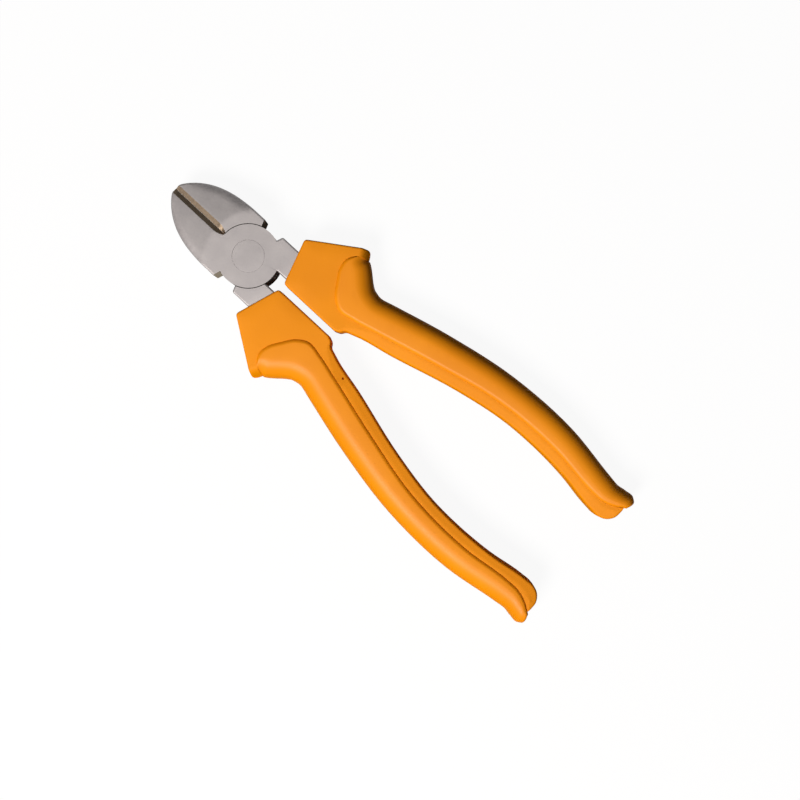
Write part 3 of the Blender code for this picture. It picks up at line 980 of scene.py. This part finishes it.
# %% Tool steel
# The true grit is about 0.02 mm and would not show, so the grain below is drawn 20 to 30 times as coarse.
CLOUD = 7  # mm across the patches that tumbling leaves
MOTTLE = {"From Min": 0.7, "From Max": 1.3}
NOISE_SPAN = {"From Min": 0.3, "From Max": 0.7}


def tool_steel(name, light, dark, grain, roughness, metallic=1.0):
    """Steel in two close greys, with its grain in mm and the lowest and highest roughness."""
    material, tree, shader, place = new_finish(name)
    speckle = add(tree, "TexNoise", {"Vector": place, "Scale": 1 / (grain * MM), "Detail": 2.0}).outputs["Fac"]
    cloud = add(tree, "TexNoise", {"Vector": place, "Scale": 1 / (CLOUD * MM), "Detail": 3.0}).outputs["Fac"]
    mixed = add(tree, "Math", {0: speckle, 1: cloud}, operation="ADD").outputs[0]
    share = add(tree, "MapRange", {"Value": mixed, **MOTTLE}).outputs[0]
    tone = add(tree, "Mix", {"Factor": share, "A": colour(dark), "B": colour(light)}, data_type="RGBA")
    span = {"To Min": roughness[0], "To Max": roughness[1]}
    rough = add(tree, "MapRange", {"Value": speckle, **NOISE_SPAN, **span})
    bump = add(tree, "Bump", {"Height": speckle, "Strength": 0.25, "Distance": 0.01 * MM})
    look = {
        "Base Color": tone.outputs["Result"],
        "Roughness": rough.outputs[0],
        "Metallic": metallic,
        "Specular IOR Level": 0.5 * metallic,
        "Normal": bump.outputs[0],
    }
    set_inputs(tree, shader, look)
    return material


# Tumbled forging: an even, dull silver without a mirror image.
steel = tool_steel("forged_steel_satin", "B8B4B3", "AAA6A6", 0.6, (0.6, 0.7))
# Ground after hardening, with the straw tint of tempering: one bevel shines warm, the other stays dark.
edge_steel = tool_steel("hardened_edge_ground", "B6A28A", "A7947E", 0.4, (0.34, 0.40))
# Ground off together with the joint, so the eye finds the rivet only by its ring.
rivet_steel = tool_steel("rivet_steel_ground", "B8B4B3", "AAA6A6", 0.6, (0.6, 0.7))
# Painted shade: the round walls of the joint are drawn nearly black and dull, standing for the shade in the
# gaps round the disc.
joint_shade_steel = tool_steel("joint_wall_painted_shade", "5A5754", "484644", 0.5, (0.7, 0.8), metallic=0.0)
# Trimmed in a press and left with a grey, chalky skin: pale, flat and a little warm.
trimmed_steel = tool_steel("forging_trimmed_dull", "D0C8B4", "BCB5A2", 0.5, (0.7, 0.8), metallic=0.0)
steels = (steel, edge_steel, rivet_steel, joint_shade_steel, trimmed_steel)
print("steel finishes:", [finish.name for finish in steels])

# %% [markdown]
# ### Orange plastic
# The core is polypropylene and the pad a softer thermoplastic rubber over it, both dyed right through and
# moulded against a finely eroded tool. That gives a strong, even orange with a silky skin: a sheen where it
# faces the light and none at the sides, because the small pits of the skin hide it there. A plain glossy
# plastic would get a bright rim instead, so the gloss is taken back towards the sides.

# %% Moulded plastic
# The pits of the skin are about 0.05 mm and would not show, so they are drawn eight times as coarse.
SKIN = 0.4
FLOW = 18  # mm across the streaks that the flow of the plastic leaves
FLOW_SPAN = {"From Min": 0.35, "From Max": 0.65}
SIDE_GLOSS = {"From Min": 0.1, "From Max": 0.5, "To Min": 0.32, "To Max": 0.02}


def moulded(name, light, dark, roughness):
    """Plastic in two close colours, with the lowest and highest roughness of its skin."""
    material, tree, shader, place = new_finish(name)
    skin = add(tree, "TexNoise", {"Vector": place, "Scale": 1 / (SKIN * MM), "Detail": 2.0}).outputs["Fac"]
    flow = add(tree, "TexNoise", {"Vector": place, "Scale": 1 / (FLOW * MM), "Detail": 2.0}).outputs["Fac"]
    share = add(tree, "MapRange", {"Value": flow, **FLOW_SPAN}).outputs[0]
    tone = add(tree, "Mix", {"Factor": share, "A": colour(dark), "B": colour(light)}, data_type="RGBA")
    span = {"To Min": roughness[0], "To Max": roughness[1]}
    rough = add(tree, "MapRange", {"Value": skin, **NOISE_SPAN, **span})
    bump = add(tree, "Bump", {"Height": skin, "Strength": 0.15, "Distance": 0.02 * MM})
    facing = add(tree, "LayerWeight", {"Blend": 0.5}).outputs["Facing"]
    gloss = add(tree, "MapRange", {"Value": facing, **SIDE_GLOSS})
    look = {
        "Base Color": tone.outputs["Result"],
        "Roughness": rough.outputs[0],
        "Specular IOR Level": gloss.outputs[0],
        "Normal": bump.outputs[0],
    }
    set_inputs(tree, shader, look)
    return material


# Hard polypropylene with a dry skin: a flat, even orange.
core_orange = moulded("core_orange_moulded", "EE9100", "E88C00", (0.68, 0.76))
# Softer rubber with a closer skin: the same orange, with a silky band of light along the nose.
pad_orange = moulded("pad_orange_moulded", "EF920A", "E98C06", (0.45, 0.55))
print("plastic finishes:", [finish.name for finish in (core_orange, pad_orange)])

# %% Finishes on their pieces
for piece in (front_steel, rear_steel):
    for finish in (steel, edge_steel, joint_shade_steel, trimmed_steel):
        piece.data.materials.append(finish)
rivet.data.materials.append(rivet_steel)
for piece in (right_core, left_core):
    piece.data.materials.append(core_orange)
for piece in (right_pad, left_pad):
    piece.data.materials.append(pad_orange)
print("finishes:", [m.name for m in bpy.data.materials if m.users])

# %% [markdown]
# ## Floor
# The photograph has a white ground. A white floor would throw so much light back at the tool that its dark
# sides were lost, and a lamp strong enough to make it white would bleach the orange. So the floor glows
# white only for the camera and for reflections, and is dark paper for all other light. A little of it stays
# plain paper to the camera too, which keeps the shadow.

# %% White floor that keeps the shadow
FLOOR_SIZE = 1.5
GLOW_SHARE = 0.93


def in_sight(tree):
    """1 for what the camera sees, straight or in metal or glass, and 0 for light on its way to a surface."""
    paths = add(tree, "LightPath").outputs
    seen = paths["Is Camera Ray"]
    for kind in ("Is Glossy Ray", "Is Transmission Ray"):
        seen = add(tree, "Math", {0: seen, 1: paths[kind]}, operation="MAXIMUM").outputs[0]
    return seen


floor_bm = bmesh.new()
bmesh.ops.create_grid(floor_bm, x_segments=1, y_segments=1, size=FLOOR_SIZE)
bmesh.ops.translate(floor_bm, verts=floor_bm.verts, vec=(0, 0, cad_low.z))
floor_mesh = bpy.data.meshes.new("floor")
floor_bm.to_mesh(floor_mesh)
floor_bm.free()
floor = bpy.data.objects.new("floor", floor_mesh)
scene.collection.objects.link(floor)

# White paper, lit from below as on a light table: no grain, only the soft shadow.
floor_paper = bpy.data.materials.new("white_paper")
floor_paper.use_nodes = True
tree = floor_paper.node_tree
tree.nodes.remove(tree.nodes["Principled BSDF"])
seen = in_sight(tree)
tone = add(tree, "Mix", {"Factor": seen, "A": colour("242424"), "B": colour("FAFAFA")}, data_type="RGBA")
paper = add(tree, "BsdfDiffuse", {"Color": tone.outputs["Result"]}).outputs[0]
glow = add(tree, "Emission", {"Color": (1, 1, 1, 1), "Strength": 1.0}).outputs[0]
glow_share = add(tree, "Math", {0: seen, 1: GLOW_SHARE}, operation="MULTIPLY").outputs[0]
mixed = add(tree, "MixShader", {0: glow_share, 1: paper, 2: glow}).outputs[0]
tree.links.new(mixed, tree.nodes["Material Output"].inputs["Surface"])
floor_mesh.materials.append(floor_paper)
print("floor at z =", round(cad_low.z / MM, 2), "mm")

# %% [markdown]
# ## Light
# The bright and the dark sides of the grips speak of one soft lamp, high up on the side of the lower
# handle. The rest of the room is dim, a little brighter overhead. Dull metal shows what it reflects more
# than what lights it, so reflections also find a white horizon, where the floor ends, and a white panel
# overhead.

# %% Soft key lamp from the side
KEY_PLACE = Vector((0.123, -0.596, 0.799))
KEY_TARGET = Vector((0.05, 0, 0))
KEY_SIZE = 0.37
KEY_POWER = 11.8

scene.view_settings.view_transform = "Standard"
key_data = bpy.data.lights.new("key", "AREA")
key_data.size = KEY_SIZE
key_data.energy = KEY_POWER
key_data.color = colour("FFF8F4")[:3]
key = bpy.data.objects.new("key", key_data)
key.location = KEY_PLACE
key.rotation_euler = (KEY_TARGET - KEY_PLACE).to_track_quat("-Z", "Y").to_euler()
scene.collection.objects.link(key)
print("key lamp:", round((KEY_TARGET - KEY_PLACE).length, 2), "m away")

# %% Dim room, white where reflections look for it
ROOM = {"From Min": 0.4, "From Max": 0.95, "To Min": 0.01, "To Max": 0.18}
HORIZON = {"From Min": 0.08, "From Max": 0.2, "To Min": 1.0, "To Max": 0.0}
CEILING_PANEL = (0.2, -0.13, 0.971)  # direction of its middle
PANEL_EDGE = {"From Min": 0.7, "From Max": 0.96, "To Min": 0.0, "To Max": 1.0}
SOFT = {"interpolation_type": "SMOOTHSTEP"}

world = bpy.data.worlds.new("studio")
scene.world = world
world.use_nodes = True
tree = world.node_tree
direction = add(tree, "TexCoord").outputs["Generated"]
height = add(tree, "SeparateXYZ", {0: direction}).outputs["Z"]
room = add(tree, "MapRange", {"Value": height, **ROOM}, **SOFT).outputs[0]
horizon = add(tree, "MapRange", {"Value": height, **HORIZON}, **SOFT).outputs[0]
overhead = add(tree, "VectorMath", {0: direction, 1: CEILING_PANEL}, operation="DOT_PRODUCT").outputs["Value"]
panel = add(tree, "MapRange", {"Value": overhead, **PANEL_EDGE}, **SOFT).outputs[0]
white = add(tree, "Math", {0: horizon, 1: panel}, operation="MAXIMUM").outputs[0]
share = add(tree, "Math", {0: in_sight(tree), 1: white}, operation="MULTIPLY").outputs[0]
strength = add(tree, "Mix", {"Factor": share, "A": room, "B": 1.0}, data_type="FLOAT").outputs["Result"]
set_inputs(tree, tree.nodes["Background"], {"Color": (1, 1, 1, 1), "Strength": strength})
print("nodes of the room:", len(tree.nodes))
